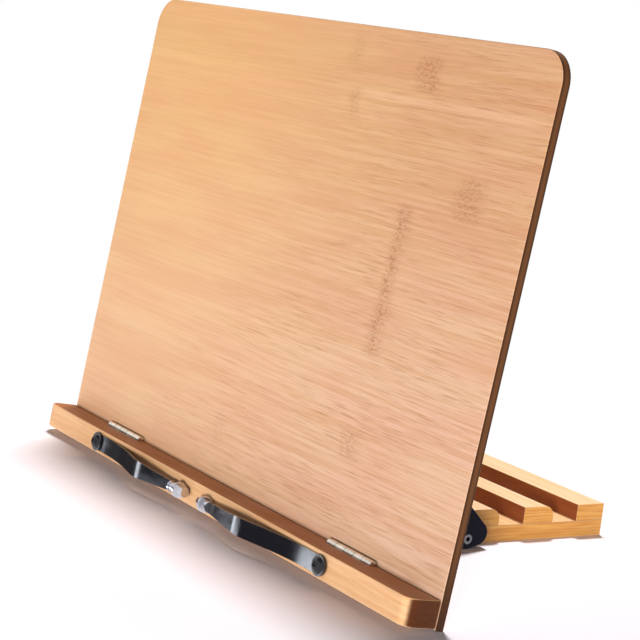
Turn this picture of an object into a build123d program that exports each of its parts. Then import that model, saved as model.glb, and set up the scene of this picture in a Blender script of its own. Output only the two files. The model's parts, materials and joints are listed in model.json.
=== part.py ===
from build123d import *
from math import atan2, cos, degrees, hypot, radians, sin, tan
import os

# A bamboo book stand: a board with a folding ledge and two swinging page clips in front,
# and behind it a slotted foot and a steel strut whose cross bar stands in one of the slots.
# Millimetres. X is the width, Y runs from front to back and Z is up.
# The origin is the centre of the foot's underside.

# Board
board_width = 340.0
board_height = 239.5
board_thickness = 4.5
board_corner_radius = 14.0
board_edge_round = 0.6
lean = 6.7                     # degrees from the vertical

# Ledge
ledge_reach = 16.4             # from the board's face to the ledge's front
ledge_height = 12.2
ledge_lift = 0.7                # its underside, above the board's lower edge
ledge_corner_radius = 6.0
ledge_gap = 0.3
wood_edge_round = 0.8

# Ledge hinges
ledge_hinge_inset = 63.5       # from the board's end to the hinge's middle
ledge_hinge_length = 34.0
ledge_hinge_reach = 10.4
ledge_leaf_thickness = 0.9
ledge_barrel_radius = 2.0
ledge_pin_radius = 0.9
ledge_screw_length = 3.6
ledge_screw_x = 10.0           # each screw's distance from the hinge's middle
ledge_screw_reach = 6.8        # and from its axis

# Foot
foot_width = 125.0
foot_base_thickness = 8.0
foot_top_thickness = 8.3
slot_width = 15.4
slot_pitch = 34.0
slot_count = 3
slot_round = 5.5
first_wall = 93.0              # from the board's lower back edge to the first slot's far wall
last_rail_width = 17.0

# Foot hinges
foot_hinge_inset = 28.5        # from the foot's side
foot_hinge_length = 36.0
foot_hinge_reach = 20.0
foot_leaf_thickness = 1.2
foot_barrel_radius = 2.5
foot_pin_radius = 1.2
foot_screw_length = 3.2
foot_screw_x = 11.0
foot_screw_reach = 12.5
foot_stop_gap = 0.12           # between the foot's front and the board's back when square

# Strut
strut_pivot_height = 92.0      # along the board, from its lower edge
strut_pivot_offset = 8.6       # behind the board's back
strut_side_gap = 1.7           # between the foot's side and an arm
arm_thickness = 3.0
arm_width = 12.0
bar_radius = 3.0
bar_bore = 1.8
bar_wall_gap = 0.3
bar_floor_gap = 0.05
heel_radius = 5.7              # the heel's rear round
heel_back = 11.4               # from the bar's centre to that round's centre
heel_lift = 1.6                # from the desk to that round
boss_radius = 4.95             # the heel's lower round, which holds the eyelet
boss_back = 5.5
heel_inset = 1.0               # the arm stays this far inside its shoe's outline
shoe_thickness = 4.0
shoe_rise = 34.0
shoe_floor_gap = 0.1
eyelet_flange_radius = 2.4
eyelet_shank_radius = 1.6
eyelet_bore = 1.1
eyelet_flange = 0.6

# Strut brackets
bracket_plate = 2.0
bracket_height = 46.0
bracket_width = 14.0
bracket_corner = 3.0
ear_thickness = 2.0
ear_gap = 0.6
ear_radius = 5.6
ear_foot = 17.0                # the ear's length along its plate
pivot_pin_radius = 2.0
pivot_head_radius = 3.6
pivot_head_height = 1.6
pivot_head_round = 0.9
bracket_screw_spacing = 32.0
bracket_screw_length = 3.8

# Page clips
clip_pivot_inset = 63.5        # from the ledge's end to the pivot
clip_tip_x = 7.5               # from the stand's middle to the knob's end
clip_bend_share = 0.57         # of the way from the pivot to the knob's end
clip_bend_out = 9.0            # the bend's distance from the ledge's front
clip_tip_out = 4.2
clip_width = 8.3
clip_tip_width = 3.4
clip_thickness = 0.8
clip_flat = 24.0               # from the pivot to where the strip's gentle curve turns
clip_curve_radius = 120.0
clip_bend_radius = 28.0
clip_curve_room = 0.60         # the most of the slope between the two turns that the curve takes
clip_bend_room = 0.35          # and the most that the bend takes
clip_face_gap = 0.3
knob_neck_radius = 2.4
knob_neck_length = 5.6
knob_collar_radius = 2.8
knob_collar_length = 1.0
knob_flange_radius = 3.85
knob_flange_length = 1.6
knob_flange_round = 0.45
knob_sides = 8
knob_head_radius = 3.7
knob_tip_radius = 2.5
knob_head_length = 4.2
knob_grip = 2.5                # the strip's length inside the neck
clip_screw_radius = 1.75
clip_screw_length = 11.0
clip_head_radius = 3.8
clip_head_height = 2.3
washer_radius = 4.7
washer_thickness = 0.7
cross_length = 3.8
cross_width = 0.8
cross_depth = 1.2

# Small screws and hinges
screw_radius = 1.2
screw_head_radius = 2.1
screw_slot_width = 0.6
screw_slot_depth = 0.4
hinge_parts = 5                # knuckles along a hinge

# Fits
running_gap = 0.05
face_gap = 0.25
screw_fit = 0.05
barrel_gap = 0.2               # between a hinge's barrel and the face that carries it
knuckle_gap = 0.3              # between a barrel and the leaf of the other half
pocket_gap = 0.3               # round a hinge let into the ledge

# Derived places
tilt = radians(lean)
foot_thickness = foot_base_thickness + foot_top_thickness
foot_axis_offset = foot_barrel_radius + barrel_gap
foot_axis_z = foot_thickness + foot_axis_offset
foot_axis_up = (foot_axis_z + foot_axis_offset * sin(tilt)) / cos(tilt)
foot_axis_back = foot_axis_up * sin(tilt) + foot_axis_offset * cos(tilt)
foot_front = foot_axis_back - foot_axis_offset + foot_stop_gap
foot_back = first_wall + (slot_count - 1) * slot_pitch + last_rail_width
board_y = -(foot_front + foot_back) / 2
ledge_front = -board_thickness - ledge_reach
ledge_top = ledge_lift + ledge_height
ledge_hinge_x = board_width / 2 - ledge_hinge_inset
clip_pivot_x = board_width / 2 - clip_pivot_inset
foot_hinge_x = foot_width / 2 - foot_hinge_inset
ledge_axis_out = ledge_barrel_radius + barrel_gap
ledge_pocket_out = ledge_axis_out + ledge_barrel_radius + pocket_gap
arm_inner_x = foot_width / 2 + strut_side_gap
arm_middle_x = arm_inner_x + arm_thickness / 2
arm_outer_x = arm_inner_x + arm_thickness
bar_y = board_y + first_wall - slot_width + bar_wall_gap + bar_radius
bar_z = foot_base_thickness + bar_floor_gap + bar_radius

os.makedirs("parts", exist_ok=True)
nodes = {}

lean_place = Pos(0, board_y, 0) * Rot(-lean, 0, 0)


def keep(name, shape):
    nodes[name] = shape


def leaned(y, z):
    """A point of the upright board, y behind its back and z above its foot, where it stands."""
    return (board_y + y * cos(tilt) + z * sin(tilt), z * cos(tilt) - y * sin(tilt))


def rod_x(radius, length, x=0.0, y=0.0, z=0.0):
    return Pos(x, y, z) * Rot(0, 90, 0) * Cylinder(radius, length)


def countersunk_screw(length):
    """Its flat head's top is at z = 0 and its shank points down."""
    head_height = screw_head_radius - screw_radius
    head = Pos(0, 0, -head_height / 2) * Cone(screw_radius, screw_head_radius, head_height)
    shank = Pos(0, 0, -length / 2) * Cylinder(screw_radius, length)
    slot = Box(2 * screw_head_radius, screw_slot_width, 2 * screw_slot_depth)
    return head + shank - slot


def countersunk_hole(depth):
    grown = screw_head_radius + screw_fit
    head_height = screw_head_radius - screw_radius
    sink = Pos(0, 0, -head_height / 2) * Cone(screw_radius + screw_fit, grown, head_height)
    bore = Cylinder(screw_radius + screw_fit, 2 * depth)
    return sink + bore


def hinge_leaf(length, reach, thickness, offset, barrel, pin, own, screws):
    """Half a butt hinge. Its axis is X and the leaf lies below it, reaching along +Y."""
    start = barrel + knuckle_gap
    middle = (start + reach) / 2
    leaf = Pos(0, middle, thickness / 2 - offset) * Box(length, reach - start, thickness)
    part = length / hinge_parts
    for index in own:
        x = (index + 0.5) * part - length / 2
        width = part - face_gap
        leaf += rod_x(barrel, width, x)
        leaf += Pos(x, start / 2, thickness / 2 - offset) * Box(width, start, thickness)
    leaf -= rod_x(pin + running_gap, length + 1)
    for x, y in screws:
        leaf -= Pos(x, y, thickness - offset) * countersunk_hole(thickness)
    return leaf


def pilot_hole(length):
    hole = Cylinder(screw_radius + screw_fit, length + screw_fit)
    return Pos(0, 0, -length / 2) * hole


def at_screws(places, shape, offset, thickness):
    """A copy of the shape at each of a leaf's screws, with its origin on the leaf's face."""
    return [Pos(x, y, thickness - offset) * shape for x, y in places]


# Hinge frames: local Z points away from the face that carries the leaf
ledge_axis = (0, -board_thickness - ledge_axis_out, ledge_top)
foot_axis_upright = (0, foot_axis_offset, foot_axis_up)
foot_axis = (0, board_y + foot_axis_back, foot_axis_z)


def ledge_board_frame(x):
    return Plane((x, ledge_axis[1], ledge_axis[2]), x_dir=(-1, 0, 0), z_dir=(0, -1, 0)).location


def ledge_own_frame(x):
    return Plane((x, ledge_axis[1], ledge_axis[2]), x_dir=(1, 0, 0), z_dir=(0, 1, 0)).location


def foot_board_frame(x):
    origin = (x, foot_axis_upright[1], foot_axis_upright[2])
    return Plane(origin, x_dir=(-1, 0, 0), z_dir=(0, 1, 0)).location


def foot_own_frame(x):
    return Pos(x, foot_axis[1], foot_axis[2])


ledge_screws = [(side * ledge_screw_x, ledge_screw_reach) for side in (-1, 1)]
foot_screws = [(side * foot_screw_x, foot_screw_reach) for side in (-1, 1)]
bracket_screws = [(arm_middle_x, strut_pivot_height + side * bracket_screw_spacing / 2)
                  for side in (-1, 1)]


def bracket_screw_frame(x, z):
    return Plane((x, bracket_plate, z), x_dir=(1, 0, 0), z_dir=(0, 1, 0)).location


# Board
def make_board():
    outline = RectangleRounded(board_width, board_height, board_corner_radius)
    lower = Pos(0, -board_height / 4) * Rectangle(board_width, board_height / 2)
    board = extrude(outline + lower, board_thickness)
    board = fillet(board.edges().filter_by(Plane.XY), board_edge_round)
    board = Pos(0, 0, board_height / 2) * Rot(90, 0, 0) * board
    for x in (-ledge_hinge_x, ledge_hinge_x):
        for hole in at_screws(ledge_screws, pilot_hole(ledge_screw_length), ledge_axis_out,
                              ledge_leaf_thickness):
            board -= ledge_board_frame(x) * hole
    for x in (-foot_hinge_x, foot_hinge_x):
        for hole in at_screws(foot_screws, pilot_hole(foot_screw_length), foot_axis_offset,
                              foot_leaf_thickness):
            board -= foot_board_frame(x) * hole
    for x, z in bracket_screws:
        for side in (-1, 1):
            board -= bracket_screw_frame(side * x, z) * pilot_hole(bracket_screw_length)
    return lean_place * board


# Ledge, its hinges and its screws
def make_ledge():
    depth = ledge_reach - ledge_gap
    outline = Rectangle(board_width, depth)
    front_corners = outline.vertices().group_by(Axis.Y)[0]
    outline = fillet(front_corners, ledge_corner_radius)
    ledge = extrude(outline, ledge_height)
    ledge = fillet(ledge.edges().filter_by(Plane.XY), wood_edge_round)
    ledge = Pos(0, ledge_front + depth / 2, ledge_lift) * ledge
    pocket_length = ledge_hinge_length + 2 * pocket_gap
    pocket_height = 2 * (ledge_hinge_reach + pocket_gap)
    for x in (-ledge_hinge_x, ledge_hinge_x):
        y = -board_thickness - ledge_pocket_out / 2
        ledge -= Pos(x, y, ledge_top) * Box(pocket_length, ledge_pocket_out, pocket_height)
        for hole in at_screws(ledge_screws, pilot_hole(ledge_screw_length),
                              ledge_pocket_out - ledge_axis_out, ledge_leaf_thickness):
            ledge -= ledge_own_frame(x) * hole
    for x in (-clip_pivot_x, clip_pivot_x):
        ledge -= clip_frame(x) * Pos(0, 0, -clip_screw_length / 2) * Cylinder(
            clip_screw_radius + screw_fit, clip_screw_length)
    return lean_place * ledge


def ledge_hinges():
    for side, x in (("left", -ledge_hinge_x), ("right", ledge_hinge_x)):
        shape = dict(length=ledge_hinge_length, thickness=ledge_leaf_thickness,
                     barrel=ledge_barrel_radius, pin=ledge_pin_radius,
                     reach=ledge_hinge_reach, screws=ledge_screws)
        fixed = hinge_leaf(offset=ledge_axis_out, own=(0, 2, 4), **shape)
        moving = hinge_leaf(offset=ledge_pocket_out - ledge_axis_out, own=(1, 3), **shape)
        keep(f"ledge_hinge_board_leaf_{side}", lean_place * ledge_board_frame(x) * fixed)
        keep(f"ledge_hinge_ledge_leaf_{side}", lean_place * ledge_own_frame(x) * moving)
        pin = rod_x(ledge_pin_radius, ledge_hinge_length, x, ledge_axis[1], ledge_axis[2])
        keep(f"ledge_hinge_pin_{side}", lean_place * pin)
    board_screws = []
    own_screws = []
    screw = countersunk_screw(ledge_screw_length)
    for x in (-ledge_hinge_x, ledge_hinge_x):
        for placed in at_screws(ledge_screws, screw, ledge_axis_out, ledge_leaf_thickness):
            board_screws.append(lean_place * ledge_board_frame(x) * placed)
        for placed in at_screws(ledge_screws, screw, ledge_pocket_out - ledge_axis_out,
                                ledge_leaf_thickness):
            own_screws.append(lean_place * ledge_own_frame(x) * placed)
    keep("ledge_hinge_board_screws", Compound(children=board_screws))
    keep("ledge_hinge_ledge_screws", Compound(children=own_screws))


# Page clips. Local frame at the pivot: X towards the stand's middle, Z out of the ledge's front
clip_height = ledge_lift + ledge_height / 2


def clip_frame(x):
    side = 1 if x < 0 else -1
    origin = (x, ledge_front, clip_height)
    return Plane(origin, x_dir=(side, 0, 0), z_dir=(0, -1, 0)).location


clip_tip = (clip_pivot_x - clip_tip_x, clip_tip_out)
clip_bend = (clip_bend_share * clip_tip[0], clip_bend_out)
clip_level = clip_face_gap + clip_thickness / 2
knob_length = knob_head_length + knob_flange_length + knob_neck_length


def clip_tip_frame():
    """At the knob's outer end, with Z back along the strip."""
    run = hypot(clip_bend[0] - clip_tip[0], clip_bend[1] - clip_tip[1])
    back = ((clip_bend[0] - clip_tip[0]) / run, 0, (clip_bend[1] - clip_tip[1]) / run)
    return Plane((clip_tip[0], 0, clip_tip[1]), x_dir=(0, 1, 0), z_dir=back).location


def make_clip_strip():
    run = hypot(clip_bend[0] - clip_tip[0], clip_bend[1] - clip_tip[1])
    share = (knob_length - knob_grip) / run
    end = (clip_tip[0] + share * (clip_bend[0] - clip_tip[0]),
           clip_tip[1] + share * (clip_bend[1] - clip_tip[1]))
    half, half_tip = clip_width / 2, clip_tip_width / 2
    slope = hypot(clip_bend[0] - clip_flat, clip_bend[1] - clip_level)
    rise = atan2(clip_bend[1] - clip_level, clip_bend[0] - clip_flat)
    fall = atan2(clip_bend[1] - clip_tip[1], clip_tip[0] - clip_bend[0])
    curve_radius = min(clip_curve_radius, clip_curve_room * slope / tan(rise / 2))
    bend_radius = min(clip_bend_radius, clip_bend_room * slope / tan((rise + fall) / 2))
    path = FilletPolyline((-half, clip_level), (clip_flat, clip_level), clip_bend, end,
                          radius=(curve_radius, bend_radius))
    strip = Rot(90, 0, 0) * extrude(trace(path, clip_thickness), half, both=True)
    outline = Polygon((0, half), (0, -half), (clip_bend[0], -half), (clip_tip[0], -half_tip),
                      (clip_tip[0], half_tip), (clip_bend[0], half), align=None)
    strip &= extrude(outline + Circle(half), 2 * clip_bend_out)
    strip -= Cylinder(clip_screw_radius + running_gap, 4 * clip_level)
    return strip


def rod_z(radius, start, end):
    return Pos(0, 0, (start + end) / 2) * Cylinder(radius, end - start)


def make_clip_knob(strip):
    flange_end = knob_head_length + knob_flange_length
    tip = RegularPolygon(knob_tip_radius, knob_sides)
    head = loft([tip, Pos(0, 0, knob_head_length) * RegularPolygon(knob_head_radius, knob_sides)])
    flange = rod_z(knob_flange_radius, knob_head_length, flange_end)
    flange = fillet(flange.edges().filter_by(GeomType.CIRCLE), knob_flange_round)
    neck = rod_z(knob_neck_radius, flange_end, knob_length)
    collar = rod_z(knob_collar_radius, knob_length - knob_collar_length, knob_length)
    knob = clip_tip_frame() * (head + flange + neck + collar)
    return knob - strip


def make_clip_screw():
    base = clip_face_gap + clip_thickness + face_gap + washer_thickness
    sphere_radius = (clip_head_radius ** 2 + clip_head_height ** 2) / (2 * clip_head_height)
    dome = Pos(0, 0, base + clip_head_height - sphere_radius) * Sphere(sphere_radius)
    dome &= Pos(0, 0, base + clip_head_height / 2) * Cylinder(clip_head_radius, clip_head_height)
    shank_length = base + clip_screw_length - face_gap
    shank = Pos(0, 0, base - shank_length / 2) * Cylinder(clip_screw_radius, shank_length)
    recess_z = base + clip_head_height - cross_depth / 2
    cross = Pos(0, 0, recess_z) * Box(cross_length, cross_width, cross_depth)
    cross += Pos(0, 0, recess_z) * Box(cross_width, cross_length, cross_depth)
    return dome + shank - cross


def make_clip_washer():
    z = clip_face_gap + clip_thickness + face_gap + washer_thickness / 2
    ring = Cylinder(washer_radius, washer_thickness)
    ring -= Cylinder(clip_screw_radius + screw_fit, 2 * washer_thickness)
    return Pos(0, 0, z) * ring


def page_clips():
    strip = make_clip_strip()
    knob = make_clip_knob(strip)
    for side, x in (("left", -clip_pivot_x), ("right", clip_pivot_x)):
        place = lean_place * clip_frame(x)
        keep(f"clip_spring_{side}", place * strip)
        keep(f"clip_knob_{side}", place * knob)
        keep(f"clip_screw_{side}", place * make_clip_screw())
        keep(f"clip_washer_{side}", place * make_clip_washer())


# Foot: a base plate with a front plate and rails glued on, which leave the slots between them
def make_foot_block(front, back, rounded):
    profile = Pos((front + back) / 2, foot_base_thickness + foot_top_thickness / 2) * Rectangle(
        back - front, foot_top_thickness)
    if rounded:
        corner = profile.vertices().sort_by(Axis.X)[-2:].sort_by(Axis.Y)[-1]
        profile = fillet(corner, slot_round)
    block = Plane.YZ.location * extrude(profile, foot_width / 2, both=True)
    return Pos(0, board_y, 0) * block


def foot():
    base = Box(foot_width, foot_back - foot_front, foot_base_thickness)
    keep("foot_base", Pos(0, 0, foot_base_thickness / 2) * base)
    front_plate = make_foot_block(foot_front, first_wall - slot_width, True)
    for x in (-foot_hinge_x, foot_hinge_x):
        for hole in at_screws(foot_screws, pilot_hole(foot_screw_length), foot_axis_offset,
                              foot_leaf_thickness):
            front_plate -= foot_own_frame(x) * hole
    keep("foot_front_plate", front_plate)
    for index in range(slot_count):
        wall = first_wall + index * slot_pitch
        last = index == slot_count - 1
        back = foot_back if last else wall + slot_pitch - slot_width
        keep(f"foot_rail_{index + 1}", make_foot_block(wall, back, not last))


def foot_hinges():
    board_screws = []
    own_screws = []
    screw = countersunk_screw(foot_screw_length)
    shape = dict(length=foot_hinge_length, thickness=foot_leaf_thickness,
                 offset=foot_axis_offset, barrel=foot_barrel_radius, pin=foot_pin_radius,
                 reach=foot_hinge_reach, screws=foot_screws)
    for side, x in (("left", -foot_hinge_x), ("right", foot_hinge_x)):
        fixed = hinge_leaf(own=(0, 2, 4), **shape)
        moving = hinge_leaf(own=(1, 3), **shape)
        keep(f"foot_hinge_board_leaf_{side}", lean_place * foot_board_frame(x) * fixed)
        keep(f"foot_hinge_foot_leaf_{side}", foot_own_frame(x) * moving)
        keep(f"foot_hinge_pin_{side}", rod_x(foot_pin_radius, foot_hinge_length, x,
                                             foot_axis[1], foot_axis[2]))
        for placed in at_screws(foot_screws, screw, foot_axis_offset, foot_leaf_thickness):
            board_screws.append(lean_place * foot_board_frame(x) * placed)
            own_screws.append(foot_own_frame(x) * placed)
    keep("foot_hinge_board_screws", Compound(children=board_screws))
    keep("foot_hinge_foot_screws", Compound(children=own_screws))


# Strut: two arms joined by a cross bar, with a moulded shoe riveted to each heel
strut_pivot = leaned(strut_pivot_offset, strut_pivot_height)
arm_length = hypot(bar_y - strut_pivot[0], bar_z - strut_pivot[1])
arm_angle = degrees(atan2(strut_pivot[1] - bar_z, strut_pivot[0] - bar_y))
heel = (bar_y + heel_back, heel_lift + heel_radius)
boss = (bar_y + boss_back, shoe_floor_gap + boss_radius)


def side_plate(sketch, inner, thickness):
    """A sketch of Y and Z, made a plate that starts at x = inner and is thickness thick."""
    return Pos(inner, 0, 0) * Plane.YZ.location * extrude(sketch, thickness)


def disc(place, radius):
    return Pos(*place) * Circle(radius)


def heel_outline(inset):
    up = (bar_y + shoe_rise * cos(radians(arm_angle)), bar_z + shoe_rise * sin(radians(arm_angle)))
    rounds = disc(heel, heel_radius - inset).edges() + disc(boss, boss_radius - inset).edges()
    return make_hull(rounds + disc(up, arm_width / 2).edges())


def make_arm():
    edges = disc(strut_pivot, arm_width / 2).edges() + disc((bar_y, bar_z), arm_width / 2).edges()
    outline = make_hull(edges) + heel_outline(heel_inset)
    outline -= disc(strut_pivot, pivot_pin_radius + running_gap)
    outline -= disc(boss, eyelet_shank_radius + screw_fit)
    return side_plate(outline, arm_inner_x, arm_thickness)


def make_shoe():
    outline = heel_outline(0) - disc(boss, eyelet_shank_radius + screw_fit)
    return side_plate(outline, arm_outer_x, shoe_thickness)


def make_eyelet():
    length = arm_thickness + shoe_thickness
    middle = arm_inner_x + length / 2
    eyelet = rod_x(eyelet_shank_radius, length, middle, *boss)
    for x in (arm_inner_x - eyelet_flange / 2, arm_outer_x + shoe_thickness + eyelet_flange / 2):
        eyelet += rod_x(eyelet_flange_radius, eyelet_flange, x, *boss)
    eyelet -= rod_x(eyelet_bore, 2 * length, middle, *boss)
    return eyelet


# Strut brackets on the board's back, made upright
def make_bracket():
    inner_ear = arm_inner_x - ear_gap - ear_thickness
    outer_ear = arm_outer_x + ear_gap
    plate = Pos(arm_middle_x, bracket_plate / 2, strut_pivot_height) * Box(
        bracket_width, bracket_plate, bracket_height)
    bracket = fillet(plate.edges().filter_by(Axis.Y), bracket_corner)
    pivot = (strut_pivot_offset, strut_pivot_height)
    root = Pos(bracket_plate / 2, strut_pivot_height) * Rectangle(bracket_plate, ear_foot)
    ear = make_hull(disc(pivot, ear_radius).edges() + root.edges())
    ear -= disc(pivot, pivot_pin_radius + running_gap)
    for x in (inner_ear, outer_ear):
        bracket += side_plate(ear, x, ear_thickness)
    for x, z in bracket_screws:
        bracket -= bracket_screw_frame(x, z) * countersunk_hole(bracket_plate)
    return bracket


def make_pivot_pin():
    inner = arm_inner_x - ear_gap - ear_thickness
    outer = arm_outer_x + ear_gap + ear_thickness
    pivot = (strut_pivot_offset, strut_pivot_height)
    pin = rod_x(pivot_pin_radius, outer - inner, (inner + outer) / 2, *pivot)
    for x in (inner - pivot_head_height / 2, outer + pivot_head_height / 2):
        pin += rod_x(pivot_head_radius, pivot_head_height, x, *pivot)
    rims = pin.edges().filter_by(GeomType.CIRCLE).sort_by(Axis.X)
    return fillet([rims[0], rims[-1]], pivot_head_round)


def strut():
    mirrored = {"right": lambda shape: shape, "left": lambda shape: mirror(shape, Plane.YZ)}
    screws = []
    for side, place in mirrored.items():
        keep(f"strut_arm_{side}", place(make_arm()))
        keep(f"strut_shoe_{side}", place(make_shoe()))
        keep(f"strut_eyelet_{side}", place(make_eyelet()))
        keep(f"strut_bracket_{side}", place(lean_place * make_bracket()))
        keep(f"strut_pivot_pin_{side}", place(lean_place * make_pivot_pin()))
        for x, z in bracket_screws:
            screw = bracket_screw_frame(x, z) * countersunk_screw(bracket_screw_length)
            screws.append(place(lean_place * screw))
    bar = rod_x(bar_radius, 2 * arm_inner_x, 0, bar_y, bar_z)
    bar -= rod_x(bar_bore, 3 * arm_inner_x, 0, bar_y, bar_z)
    keep("strut_bar", bar)
    keep("strut_bracket_screws", Compound(children=screws))


keep("board", make_board())
keep("ledge", make_ledge())
ledge_hinges()
page_clips()
foot()
foot_hinges()
strut()

for name, shape in nodes.items():
    export_step(shape, f"parts/{name}.step")

print("nodes", len(nodes))
print("board's lower back edge y", round(board_y, 3), "foot from", round(foot_front, 3),
      "to", round(foot_back, 3))
print("ledge axis", [round(v, 3) for v in leaned(ledge_axis[1], ledge_axis[2])])
print("foot axis", [round(v, 3) for v in foot_axis])
print("strut pivot", [round(v, 3) for v in strut_pivot], "arm", round(arm_length, 2),
      "angle", round(arm_angle, 2), "bar", round(bar_y, 3), round(bar_z, 3))
print("clip pivot", [round(v, 3) for v in leaned(ledge_front, clip_height)])
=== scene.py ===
import json
import math

import bpy
from mathutils import Matrix, Vector


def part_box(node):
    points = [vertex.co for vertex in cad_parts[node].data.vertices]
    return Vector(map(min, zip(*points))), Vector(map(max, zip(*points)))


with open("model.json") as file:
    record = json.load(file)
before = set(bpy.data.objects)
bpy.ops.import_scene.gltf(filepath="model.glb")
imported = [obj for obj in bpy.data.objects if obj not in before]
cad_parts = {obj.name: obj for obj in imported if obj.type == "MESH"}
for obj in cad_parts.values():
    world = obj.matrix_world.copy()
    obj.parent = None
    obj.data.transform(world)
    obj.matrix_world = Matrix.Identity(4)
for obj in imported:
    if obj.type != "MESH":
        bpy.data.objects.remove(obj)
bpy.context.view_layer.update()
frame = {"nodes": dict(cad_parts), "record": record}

# Places, in metres in the frame. The board leans back about its lower back edge.
MM = 0.001
LEAN = math.radians(6.7)
FOOT_BACK = 178 * MM            # the foot's rear edge, behind the board's lower back edge
BOARD_FOOT = Vector((0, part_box("foot_base")[1].y - FOOT_BACK, 0))
FOOT_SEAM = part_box("foot_base")[1].z / MM
BOARD_HEIGHT = 239.5            # mm, along the board
BOARD_THICKNESS = 4.5           # mm

# Camera, fitted to the photograph's edges
AZIMUTH = math.radians(55.99)
ELEVATION = math.radians(9.11)
ROLL = math.radians(7.01)
DISTANCE = 869.53 * MM
TARGET = BOARD_FOOT + Vector((52.83, 0, 106.0)) * MM
IMAGE_WIDTH = 640
FOCAL_PIXELS = 1938.03
SENSOR = 36.0

# Light on surfaces from all sides, and the two lamps (name, place, size, watts, colour)
AMBIENT = 0.085
AMBIENT_TINT = (1.0, 0.87, 0.84, 1)
LAMP_TARGET = (0, -0.05, 0.08)
LAMPS = (
    ("above", (-0.38, 0.25, 1.25), 0.24, 18.8, (1.0, 0.98, 0.96)),
    ("front", (1.87, -1.85, 0.22), 0.4, 60.5, (1.0, 0.97, 0.95)),
)

# The floor shows its shadows out to FADE_START around the footprint, in millimetres
FLOOR_RADIUS = 2.2              # metres
FLOOR_SIDES = 64
FOOTPRINT_CENTRE = (0, -11, 0)
FOOTPRINT_HALF = (170, 101, 1)
FADE_START = 40
FADE_END = 112

# Cards seen only in reflections, upright on an arc in front of the ledge. The angles run from -X
# towards -Y: (name, start, end, low, high, colour, strength), in degrees and metres
ARC_CENTRE = Vector((0, -0.1))
ARC_RADIUS = 0.55
CARDS = (
    ("left_card", -25, 13, -0.16, 0.12, (0.07, 0.06, 0.06), 1.0),
    ("grey_card", 13, 27, -0.16, 0.12, (0.17, 0.16, 0.16), 1.0),
    ("bend_light", 27.5, 37.5, -0.11, -0.02, (0.86, 0.90, 1.0), 8.5),
    ("clip_light", 39.5, 51, -0.15, -0.070, (0.86, 0.91, 1.0), 11.0),
    ("upper_card", 27, 95, 0.0, 0.12, (0.10, 0.09, 0.10), 1.0),
    ("middle_card", 39.5, 95, -0.062, 0.0, (0.05, 0.04, 0.05), 1.0),
    ("dark_card", 51.5, 95, -0.16, -0.062, (0.05, 0.04, 0.05), 1.0),
)
CEILING_HALF = 0.8
CEILING_HEIGHT = 0.9
CEILING_COLOUR = (0.14, 0.13, 0.12)


def srgb(red, green, blue):
    """A colour of 0 to 255 as Blender's linear values."""
    def linear(value):
        value /= 255
        return value / 12.92 if value <= 0.04045 else ((value + 0.055) / 1.055) ** 2.4
    return (linear(red), linear(green), linear(blue), 1.0)


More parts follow.
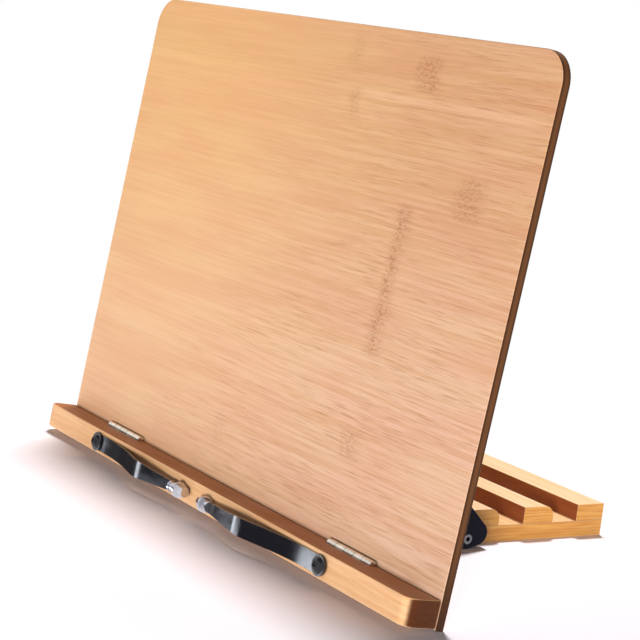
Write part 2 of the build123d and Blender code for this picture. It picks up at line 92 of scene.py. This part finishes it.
class Graph:
    """A material's nodes. Its methods return the socket that carries their result."""

    def __init__(self, name):
        self.material = bpy.data.materials.new(name)
        self.material.use_nodes = True
        self.tree = self.material.node_tree
        self.tree.nodes.clear()
        output = self.tree.nodes.new("ShaderNodeOutputMaterial")
        self.shader = self.tree.nodes.new("ShaderNodeBsdfPrincipled")
        self.tree.links.new(self.shader.outputs[0], output.inputs[0])

    def put(self, socket, value):
        if isinstance(value, bpy.types.NodeSocket):
            self.tree.links.new(value, socket)
        elif value is not None:
            socket.default_value = value

    def add(self, kind, *values, **settings):
        node = self.tree.nodes.new("ShaderNode" + kind)
        for key, value in settings.items():
            setattr(node, key, value)
        for socket, value in zip(node.inputs, values):
            self.put(socket, value)
        return node

    def set(self, **values):
        """Sets the shader's own sockets. Names have _ for a space."""
        for key, value in values.items():
            self.put(self.shader.inputs[key.replace("_", " ")], value)

    def maths(self, operation, first, second=None, third=None):
        return self.add("Math", first, second, third, operation=operation).outputs[0]

    def times(self, first, second):
        return self.maths("MULTIPLY", first, second)

    def away(self, value, centre):
        """The distance of a value from a centre."""
        return self.maths("ABSOLUTE", self.maths("SUBTRACT", value, centre))

    def smooth(self, value, start, end, low=0.0, high=1.0):
        node = self.add("MapRange", value, start, end, low, high)
        node.interpolation_type = "SMOOTHSTEP"
        return node.outputs[0]

    def total(self, values):
        result = values[0]
        for value in values[1:]:
            result = self.maths("ADD", result, value)
        return result

    def noise(self, vector, sizes, detail=2.0, roughness=0.5):
        """Noise whose grains are about sizes long in X, Y and Z."""
        scaled = self.add("VectorMath", vector, tuple(1 / s for s in sizes), operation="MULTIPLY")
        node = self.add("TexNoise")
        for key, value in (("Vector", scaled.outputs[0]), ("Scale", 1.0), ("Detail", detail),
                           ("Roughness", roughness)):
            self.put(node.inputs[key], value)
        return node.outputs[0]

    def mix(self, factor, first, second, blend="MIX"):
        node = self.add("Mix", data_type="RGBA", blend_type=blend)
        for index, value in ((0, factor), (6, first), (7, second)):
            self.put(node.inputs[index], value)
        return node.outputs[2]

    def place(self, origin=(0, 0, 0), turn=0.0):
        """The point in millimetres, and the normal, in a frame that is turned about X."""
        source = self.add("TexCoord")
        point = self.add("Mapping", source.outputs["Object"], tuple(origin), (turn, 0, 0),
                         (MM, MM, MM), vector_type="TEXTURE")
        normal = self.add("Mapping", source.outputs["Normal"], (0, 0, 0), (turn, 0, 0),
                          (1, 1, 1), vector_type="TEXTURE")
        return point.outputs[0], normal.outputs[0]

    def show(self, shader):
        """Puts another shader in the output."""
        self.tree.links.new(shader.outputs[0], self.tree.nodes["Material Output"].inputs[0])

    def split(self, vector):
        return list(self.add("SeparateXYZ", vector).outputs)

    def edge(self, radius):
        """1 along the piece's sharp edges, and 0 on its faces."""
        bevel = self.add("Bevel", radius, samples=4)
        face = self.add("NewGeometry").outputs["Normal"]
        same = self.add("VectorMath", bevel.outputs[0], face, operation="DOT_PRODUCT")
        return self.smooth(same.outputs["Value"], 0.995, 0.86)

    def crevice(self, distance):
        """1 in the open, and towards 0 where surfaces meet."""
        node = self.add("AmbientOcclusion", samples=8, only_local=False)
        self.put(node.inputs["Distance"], distance)
        return node.outputs["AO"]

    def with_painted_shade(self, colour, distance, low):
        """The colour with painted shade: dimmed in corners and seams, where surfaces meet."""
        grey = self.smooth(self.crevice(distance), 0.15, 0.75, low, 1.0)
        return self.mix(1.0, colour, grey, "MULTIPLY")

    def bump(self, height, distance, strength=1.0):
        node = self.add("Bump")
        for key, value in (("Strength", strength), ("Distance", distance), ("Height", height)):
            self.put(node.inputs[key], value)
        self.set(Normal=node.outputs[0])


# Bamboo. The grain runs along X, in lamellae that lie side by side in Z.
def node_marks(graph, point, marks):
    """The speckled bands where the cane's nodes were: (x, low z, high z, half width, strength)."""
    x, _, z = graph.split(point)
    wobble = graph.maths("MULTIPLY_ADD", graph.noise(point, (400, 9, 7), 1), 7.0, -3.5)
    x = graph.maths("ADD", x, wobble)
    speckle = graph.smooth(graph.noise(point, (2.2, 1.4, 0.8), 3, 0.65), 0.42, 0.66)
    bands = []
    for centre, low, high, half, strength in marks:
        reach = (high - low) / 2
        along = graph.smooth(graph.away(z, (low + high) / 2), reach - 2.5, reach + 1.5, 1.0, 0.0)
        cloud = graph.smooth(graph.away(x, centre), 0.1 * half, half, strength, 0.0)
        bands.append(graph.times(cloud, along))
    return graph.times(graph.total(bands), graph.maths("MULTIPLY_ADD", speckle, 0.8, 0.2))


def grain(graph, point, pale, deep, fibre, fibre_strength, streak_strength=1.0):
    """Long streaks of two tones, and short fibre lines. Returns the colour and the relief."""
    streaks = graph.noise(point, (95, 5, 1.7), 3, 0.6)
    streaks = graph.smooth(streaks, 0.36, 0.64)
    fine = graph.smooth(graph.noise(point, (17, 1.2, 0.48), 2, 0.55), 0.49, 0.70)
    gaps = graph.smooth(graph.noise(point, (45, 20, 11), 2), 0.36, 0.60)
    colour = graph.mix(graph.times(streaks, streak_strength), pale, deep)
    fine = graph.times(fine, graph.maths("MULTIPLY_ADD", gaps, 0.6, 0.4))
    fine = graph.times(fine, fibre_strength)
    return graph.mix(fine, colour, fibre), graph.maths("SUBTRACT", 1.0, fine)


def lacquer(graph, point, relief):
    """A satin finish: uneven gloss, and the fibre's relief under it."""
    uneven = graph.noise(point, (30, 9, 9), 3)
    graph.set(Roughness=graph.smooth(uneven, 0.2, 0.8, 0.36, 0.50), Specular_IOR_Level=0.35)
    graph.bump(relief, 0.12 * MM, 0.5)


# (x, low z, high z, half width, strength), in millimetres on the board
BOARD_MARKS = (
    (82, 213, 230, 14.0, 0.78), (31, 198, 211, 7.0, 0.45), (24, 222, 236, 9.0, 0.28),
    (129, 163, 182, 15.0, 0.66), (87, 143, 165, 9.0, 0.60), (86, 121, 143, 8.0, 0.62),
    (86, 97, 121, 10.0, 0.58), (85, 100, 158, 2.2, 0.30), (84, 49, 64, 12.0, 0.48),
    (-22, 26, 44, 9.0, 0.18),
)
# (height on the board, tone): 0 is pale and 1 deep
BOARD_LAMELLAE = (
    (0, 0.45), (22, 0.30), (41, 0.62), (66, 0.18), (97, 0.40), (121, 0.25), (143, 0.35),
    (163, 0.50), (182, 0.35), (198, 0.15), (213, 0.70), (230, 0.30),
)
# Pale lines where lamellae meet: (height, start, end, strength)
BOARD_LINES = ((209, 25, 176, 0.42), (67, -170, 39, 0.4))


def pale_lines(graph, point):
    x, _, z = graph.split(point)
    lines = []
    for height, start, end, strength in BOARD_LINES:
        near = graph.smooth(graph.away(z, height), 0.4, 2.6, strength, 0.0)
        reach = (end - start) / 2
        along = graph.smooth(graph.away(x, (start + end) / 2), reach - 25, reach, 1.0, 0.0)
        lines.append(graph.times(near, along))
    broken = graph.smooth(graph.noise(point, (45, 3, 0.8), 2), 0.36, 0.58, 0.25, 1.0)
    return graph.times(graph.total(lines), broken)


def lamella_tone(graph, z):
    """Each lamella's tone, by the height on the board."""
    tones = graph.add("ValToRGB", graph.maths("DIVIDE", z, BOARD_HEIGHT))
    ramp = tones.color_ramp
    ramp.interpolation = "CONSTANT"
    for index, (height, tone) in enumerate(BOARD_LAMELLAE):
        stop = ramp.elements[index] if index < 1 else ramp.elements.new(height / BOARD_HEIGHT)
        stop.color = (tone, tone, tone, 1)
    ramp.elements.remove(ramp.elements[-1])
    return tones.outputs[0]


def burnt_rim(graph, point):
    """The cut edge: dark at both faces and at the foot, and lighter in the middle."""
    _, y, z = graph.split(point)
    burnt = graph.mix(graph.noise(point, (9, 30, 14), 3), srgb(54, 31, 17), srgb(80, 49, 29))
    middle = graph.smooth(graph.away(y, -BOARD_THICKNESS / 2), 0.4, 1.9, 0.7, 0.0)
    return graph.mix(graph.times(middle, graph.smooth(z, 0, 40)), burnt, srgb(122, 80, 48))


def board_bamboo(name):
    """Golden at the upper left, rosy and coarser at the lower right, with a burnt rim."""
    graph = Graph(name)
    point, normal = graph.place(BOARD_FOOT, -LEAN)
    x, _, z = graph.split(point)
    right = graph.smooth(x, -150, 150)
    high = graph.smooth(z, 20, 225)
    pale = graph.mix(high, graph.mix(right, srgb(255, 215, 170), srgb(240, 205, 176)),
                     graph.mix(right, srgb(252, 202, 136), srgb(225, 181, 138)))
    rosy = graph.smooth(graph.noise(point, (85, 40, 13), 2), 0.38, 0.62)
    pale = graph.mix(rosy, pale, graph.mix(1.0, pale, srgb(253, 245, 248), "MULTIPLY"))
    deep = graph.mix(1.0, pale, srgb(243, 233, 220), "MULTIPLY")
    rough_side = graph.smooth(graph.maths("MULTIPLY_ADD", z, -0.4, x), -150, 50)
    colour, relief = grain(graph, point, pale, deep, srgb(189, 131, 92),
                           graph.maths("MULTIPLY_ADD", rough_side, 0.52, 0.08),
                           graph.maths("MULTIPLY_ADD", rough_side, 0.6, 0.4))
    lamella = graph.times(lamella_tone(graph, z), 0.24)
    colour = graph.mix(lamella, colour, srgb(218, 158, 108))
    colour = graph.mix(pale_lines(graph, point), colour, srgb(250, 210, 170))
    marks = node_marks(graph, point, BOARD_MARKS)
    colour = graph.mix(marks, colour, srgb(178, 118, 78))
    _, face, _ = graph.split(normal)
    rim = graph.smooth(graph.maths("ABSOLUTE", face), 0.86, 0.45)
    colour = graph.mix(rim, colour, burnt_rim(graph, point))
    # Painted shade dims the colour in corners and seams, where the ledge and its hinges meet the board.
    graph.set(Base_Color=graph.with_painted_shade(colour, 3 * MM, 0.45))
    lacquer(graph, point, graph.maths("SUBTRACT", relief, graph.times(marks, 0.4)))
    graph.set(Specular_IOR_Level=graph.maths("MULTIPLY_ADD", rim, -0.25, 0.35))
    return graph.material


def ledge_bamboo(name):
    """Pale in front, with a brown top of painted shade and dark ends, and paler edges that are partly worn
    and partly a painted highlight.
    """
    graph = Graph(name)
    point, normal = graph.place(BOARD_FOOT, -LEAN)
    colour, relief = grain(graph, point, srgb(251, 206, 157), srgb(243, 190, 136),
                           srgb(216, 152, 102), 0.40)
    along, _, up = graph.split(normal)
    # The top is painted a darker brown: painted shade where the board keeps the light off it.
    top_shade = graph.mix(graph.noise(point, (40, 4, 4), 3), srgb(186, 113, 46), srgb(156, 90, 36))
    end = graph.mix(graph.noise(point, (3, 3, 1.2), 3), srgb(101, 56, 30), srgb(78, 41, 22))
    colour = graph.mix(graph.smooth(up, 0.72, 0.92), colour, top_shade)
    colour = graph.mix(graph.smooth(along, 0.55, 0.85), colour, end)
    # Paler edges: partly worn wood and partly a painted highlight along the bevels. The colour also takes
    # painted shade in corners and in the hinge pockets.
    wear = graph.times(graph.edge(0.7 * MM), 0.35)
    graph.set(Base_Color=graph.with_painted_shade(graph.mix(wear, colour, srgb(252, 218, 172)), 3 * MM, 0.3))
    lacquer(graph, point, relief)
    graph.set(Specular_IOR_Level=graph.smooth(along, 0.55, 0.85, 0.35, 0.12))
    return graph.material


def foot_bamboo(name):
    """Pale on top, golden on the sawn sides, and scorched on the slots' far walls."""
    graph = Graph(name)
    point, normal = graph.place()
    colour, relief = grain(graph, point, srgb(247, 210, 160), srgb(241, 195, 142),
                           srgb(220, 166, 112), 0.4)
    _, _, z = graph.split(point)
    layers = graph.smooth(graph.noise(point, (9, 42, 1.5), 4, 0.6), 0.34, 0.66)
    sawn = graph.mix(layers, srgb(224, 169, 88), srgb(202, 136, 61))
    sawn = graph.mix(graph.smooth(graph.away(z, FOOT_SEAM), 0.55, 0.1, 0.0, 0.55), sawn, srgb(150, 88, 36))
    scorch = graph.mix(graph.noise(point, (30, 6, 2.2), 3), srgb(140, 74, 38), srgb(109, 52, 25))
    across, back, _ = graph.split(normal)
    colour = graph.mix(graph.smooth(graph.maths("ABSOLUTE", across), 0.5, 0.8), colour, sawn)
    colour = graph.mix(graph.smooth(back, -0.6, -0.9), colour, scorch)
    colour = graph.mix(graph.smooth(back, 0.75, 0.95), colour, sawn)
    wear = graph.times(graph.edge(0.6 * MM), 0.3)
    graph.set(Base_Color=graph.mix(wear, colour, srgb(255, 226, 178)))
    lacquer(graph, point, relief)
    return graph.material


# Metals and plastic
def steel(name, bright, dull, roughness, mark_sizes, relief, corner_shade=0.06, behind=1.0):
    """Plated or bare steel, with uneven gloss and fine marks along it. Its colour carries painted shade:
    dimmed where surfaces meet, and multiplied by behind where it lies behind the board."""
    graph = Graph(name)
    point, _ = graph.place()
    cloud = graph.smooth(graph.noise(point, (6, 6, 6), 3), 0.3, 0.7)
    marks = graph.noise(point, mark_sizes, 3, 0.6)
    _, y, _ = graph.split(point)
    colour = graph.mix(cloud, bright, dull)
    # Painted shade where the piece lies behind the board.
    shade_behind = graph.mix(1.0, colour, (behind, behind, behind, 1), "MULTIPLY")
    colour = graph.mix(graph.smooth(y, -60, -40), colour, shade_behind)
    graph.set(Base_Color=graph.with_painted_shade(colour, 2.5 * MM, corner_shade), Metallic=1.0)
    rough = graph.maths("ADD", graph.times(cloud, 0.06), graph.times(marks, 0.08))
    graph.set(Roughness=graph.maths("ADD", rough, roughness - 0.07))
    graph.bump(marks, relief * MM, 0.6)
    return graph.material


def black_coat(name, colour, roughness, wear_strength, start=0.45):
    """A glossy black coat on steel, rubbed to bare metal here and there along its edges."""
    graph = Graph(name)
    point, _ = graph.place()
    patchy = graph.smooth(graph.noise(point, (3, 3, 3), 3), start, start + 0.25)
    wear = graph.times(graph.times(graph.edge(0.25 * MM), patchy), wear_strength)
    graph.set(Base_Color=graph.mix(wear, colour, srgb(150, 150, 154)), Metallic=wear)
    uneven = graph.noise(point, (12, 4, 4), 3)
    graph.set(Roughness=graph.smooth(uneven, 0.2, 0.8, roughness - 0.04, roughness + 0.05))
    graph.bump(graph.noise(point, (1.6, 1.2, 1.2), 2), 0.015 * MM, 0.3)
    return graph.material


def navy_plastic(name):
    """Moulded, with a painted highlight along its edges."""
    graph = Graph(name)
    point, _ = graph.place()
    cloud = graph.smooth(graph.noise(point, (9, 9, 9), 3), 0.3, 0.7)
    colour = graph.mix(cloud, srgb(13, 10, 33), srgb(8, 7, 21))
    # The paler edges are a painted highlight.
    edge_highlight = graph.times(graph.edge(0.5 * MM), 0.45)
    graph.set(Base_Color=graph.mix(edge_highlight, colour, srgb(92, 94, 122)), Specular_IOR_Level=0.1)
    graph.set(Roughness=graph.smooth(graph.noise(point, (4, 4, 4), 3), 0.2, 0.8, 0.34, 0.48))
    graph.bump(graph.noise(point, (0.5, 0.5, 0.5), 2), 0.03 * MM, 0.5)
    return graph.material


def make_materials():
    return {
        "board_bamboo": board_bamboo("board_bamboo"),
        "ledge_bamboo": ledge_bamboo("ledge_bamboo"),
        "foot_bamboo": foot_bamboo("foot_bamboo"),
        "bright_steel": steel("bright_steel", (0.86, 0.80, 0.70, 1), (0.74, 0.68, 0.58, 1), 0.26,
                              (3.0, 0.5, 0.5), 0.02),
        "hinge_steel": steel("hinge_steel", (0.62, 0.61, 0.58, 1), (0.50, 0.49, 0.47, 1), 0.36,
                             (8.0, 0.4, 0.4), 0.03),
        # The knobs' steel, with painted shade in corners and behind the board.
        "chrome_knob": steel("chrome_knob", (0.66, 0.65, 0.70, 1), (0.50, 0.49, 0.54, 1), 0.16,
                             (2.0, 0.8, 0.8), 0.008, corner_shade=0.4, behind=0.3),
        "black_steel": black_coat("black_steel", (0.0095, 0.0105, 0.0145, 1), 0.14, 0.35),
        "black_screw": black_coat("black_screw", (0.006, 0.006, 0.008, 1), 0.30, 0.6, start=0.3),
        "navy_plastic": navy_plastic("navy_plastic"),
    }


def dress_nodes():
    """Each CAD node takes the material of its slot in the record."""
    materials = make_materials()
    for part in frame["record"]["subparts"]:
        for holder in frame["nodes"][part["node"]].material_slots:
            holder.material = materials[part["material_slot"]]


# Stage
def emission(name, colour, strength):
    graph = Graph(name)
    glow = graph.add("Emission", colour, strength)
    graph.show(glow)
    return graph.material


def sheet_object(name, corners, material):
    """A flat stage object with one face."""
    mesh = bpy.data.meshes.new(name)
    mesh.from_pydata(corners, [], [tuple(range(len(corners)))])
    mesh.materials.append(material)
    item = bpy.data.objects.new(name, mesh)
    bpy.context.scene.collection.objects.link(item)
    return item


def floor_material():
    """White, keeps the shadows by the object and fades to the background further out."""
    graph = Graph("floor")
    graph.set(Base_Color=srgb(250, 247, 255), Roughness=0.9, Specular_IOR_Level=0.1)
    lift = graph.add("Emission", (1, 0.92, 0.9, 1), 0.01)
    seen = graph.add("LightPath").outputs["Is Camera Ray"]
    dark = graph.add("Emission", (0, 0, 0, 1), 0.0)
    lifted = graph.add("MixShader", seen, dark.outputs[0], lift.outputs[0])
    floor = graph.add("AddShader", graph.shader.outputs[0], lifted.outputs[0])
    white = graph.add("Emission", (1, 1, 1, 1), 1.0)
    point, _ = graph.place()
    near = graph.add("VectorMath", point, FOOTPRINT_CENTRE, operation="SUBTRACT")
    near = graph.add("VectorMath", near.outputs[0], operation="ABSOLUTE")
    near = graph.add("VectorMath", near.outputs[0], FOOTPRINT_HALF, operation="SUBTRACT")
    near = graph.add("VectorMath", near.outputs[0], (0, 0, 0), operation="MAXIMUM")
    reach = graph.add("VectorMath", near.outputs[0], operation="LENGTH").outputs["Value"]
    far = graph.times(graph.smooth(reach, FADE_START, FADE_END), seen)
    faded = graph.add("MixShader", far, floor.outputs[0], white.outputs[0])
    graph.show(faded)
    return graph.material


def make_floor():
    turns = [math.tau * i / FLOOR_SIDES for i in range(FLOOR_SIDES)]
    rim = [(FLOOR_RADIUS * math.cos(turn), FLOOR_RADIUS * math.sin(turn), 0.0) for turn in turns]
    floor = sheet_object("floor", rim, floor_material())
    floor.visible_glossy = False


def make_world():
    """White where it is seen, directly or in a reflection, and a faint warm light otherwise."""
    world = bpy.data.worlds.new("studio")
    bpy.context.scene.world = world
    world.use_nodes = True
    tree = world.node_tree
    back = tree.nodes["Background"]
    path = tree.nodes.new("ShaderNodeLightPath")
    seen = path.outputs["Is Camera Ray"]
    for name in ("Is Glossy Ray", "Is Transmission Ray"):
        either = tree.nodes.new("ShaderNodeMath")
        either.operation = "MAXIMUM"
        tree.links.new(seen, either.inputs[0])
        tree.links.new(path.outputs[name], either.inputs[1])
        seen = either.outputs[0]
    level = tree.nodes.new("ShaderNodeMapRange")
    level.inputs["To Min"].default_value = AMBIENT
    level.inputs["To Max"].default_value = 1.0
    tree.links.new(seen, level.inputs["Value"])
    tree.links.new(level.outputs[0], back.inputs[1])
    tint = tree.nodes.new("ShaderNodeMix")
    tint.data_type = "RGBA"
    tint.inputs["A"].default_value = AMBIENT_TINT
    tint.inputs["B"].default_value = (1, 1, 1, 1)
    tree.links.new(seen, tint.inputs["Factor"])
    tree.links.new(tint.outputs["Result"], back.inputs[0])


def lamp(name, place, size, watts, colour):
    light = bpy.data.lights.new(name, "AREA")
    light.shape = "DISK"
    light.size = size
    light.energy = watts
    light.color = colour
    item = bpy.data.objects.new(name, light)
    bpy.context.scene.collection.objects.link(item)
    item.location = place
    item.rotation_euler = (Vector(LAMP_TARGET) - Vector(place)).to_track_quat("-Z", "Y").to_euler()
    item.visible_glossy = False


def make_lamps():
    """One soft lamp above and behind throws the shadow forward, and a low one in front fills."""
    for row in LAMPS:
        lamp(*row)


def upright_card(name, start, end, low, high, colour, strength):
    ends = []
    for angle in (math.radians(start), math.radians(end)):
        ends.append(ARC_CENTRE - ARC_RADIUS * Vector((math.cos(angle), math.sin(angle))))
    corners = [(*ends[0], low), (*ends[1], low), (*ends[1], high), (*ends[0], high)]
    reflection_card(name, corners, colour, strength)


def reflection_card(name, corners, colour, strength):
    card = sheet_object(name, corners, emission(name, (*colour, 1), strength))
    for kind in ("camera", "diffuse", "transmission", "shadow", "volume_scatter"):
        setattr(card, "visible_" + kind, False)


def make_reflectors():
    """Dark cards with bluish lights between them, for the glints of the black clips."""
    for row in CARDS:
        upright_card(*row)
    half, height = CEILING_HALF, CEILING_HEIGHT
    corners = [(-half, -half, height), (half, -half, height), (half, half, height), (-half, half, height)]
    reflection_card("ceiling_card", corners, CEILING_COLOUR, 1.0)


def make_camera():
    back = Vector((math.sin(AZIMUTH) * math.cos(ELEVATION), -math.cos(AZIMUTH) * math.cos(ELEVATION),
                   math.sin(ELEVATION)))
    right = Vector((math.cos(AZIMUTH), math.sin(AZIMUTH), 0))
    up = back.cross(right)
    rolled_right = right * math.cos(ROLL) + up * math.sin(ROLL)
    rolled_up = up * math.cos(ROLL) - right * math.sin(ROLL)
    data = bpy.data.cameras.new("camera")
    data.sensor_width = SENSOR
    data.lens = FOCAL_PIXELS * SENSOR / IMAGE_WIDTH
    data.clip_start = 0.05
    camera = bpy.data.objects.new("camera", data)
    bpy.context.scene.collection.objects.link(camera)
    turn = Matrix((rolled_right, rolled_up, back)).transposed().to_4x4()
    camera.matrix_world = Matrix.Translation(TARGET + back * DISTANCE) @ turn
    bpy.context.scene.camera = camera


dress_nodes()
make_floor()
make_world()
make_lamps()
make_reflectors()
make_camera()
bpy.context.scene.view_settings.view_transform = "Standard"
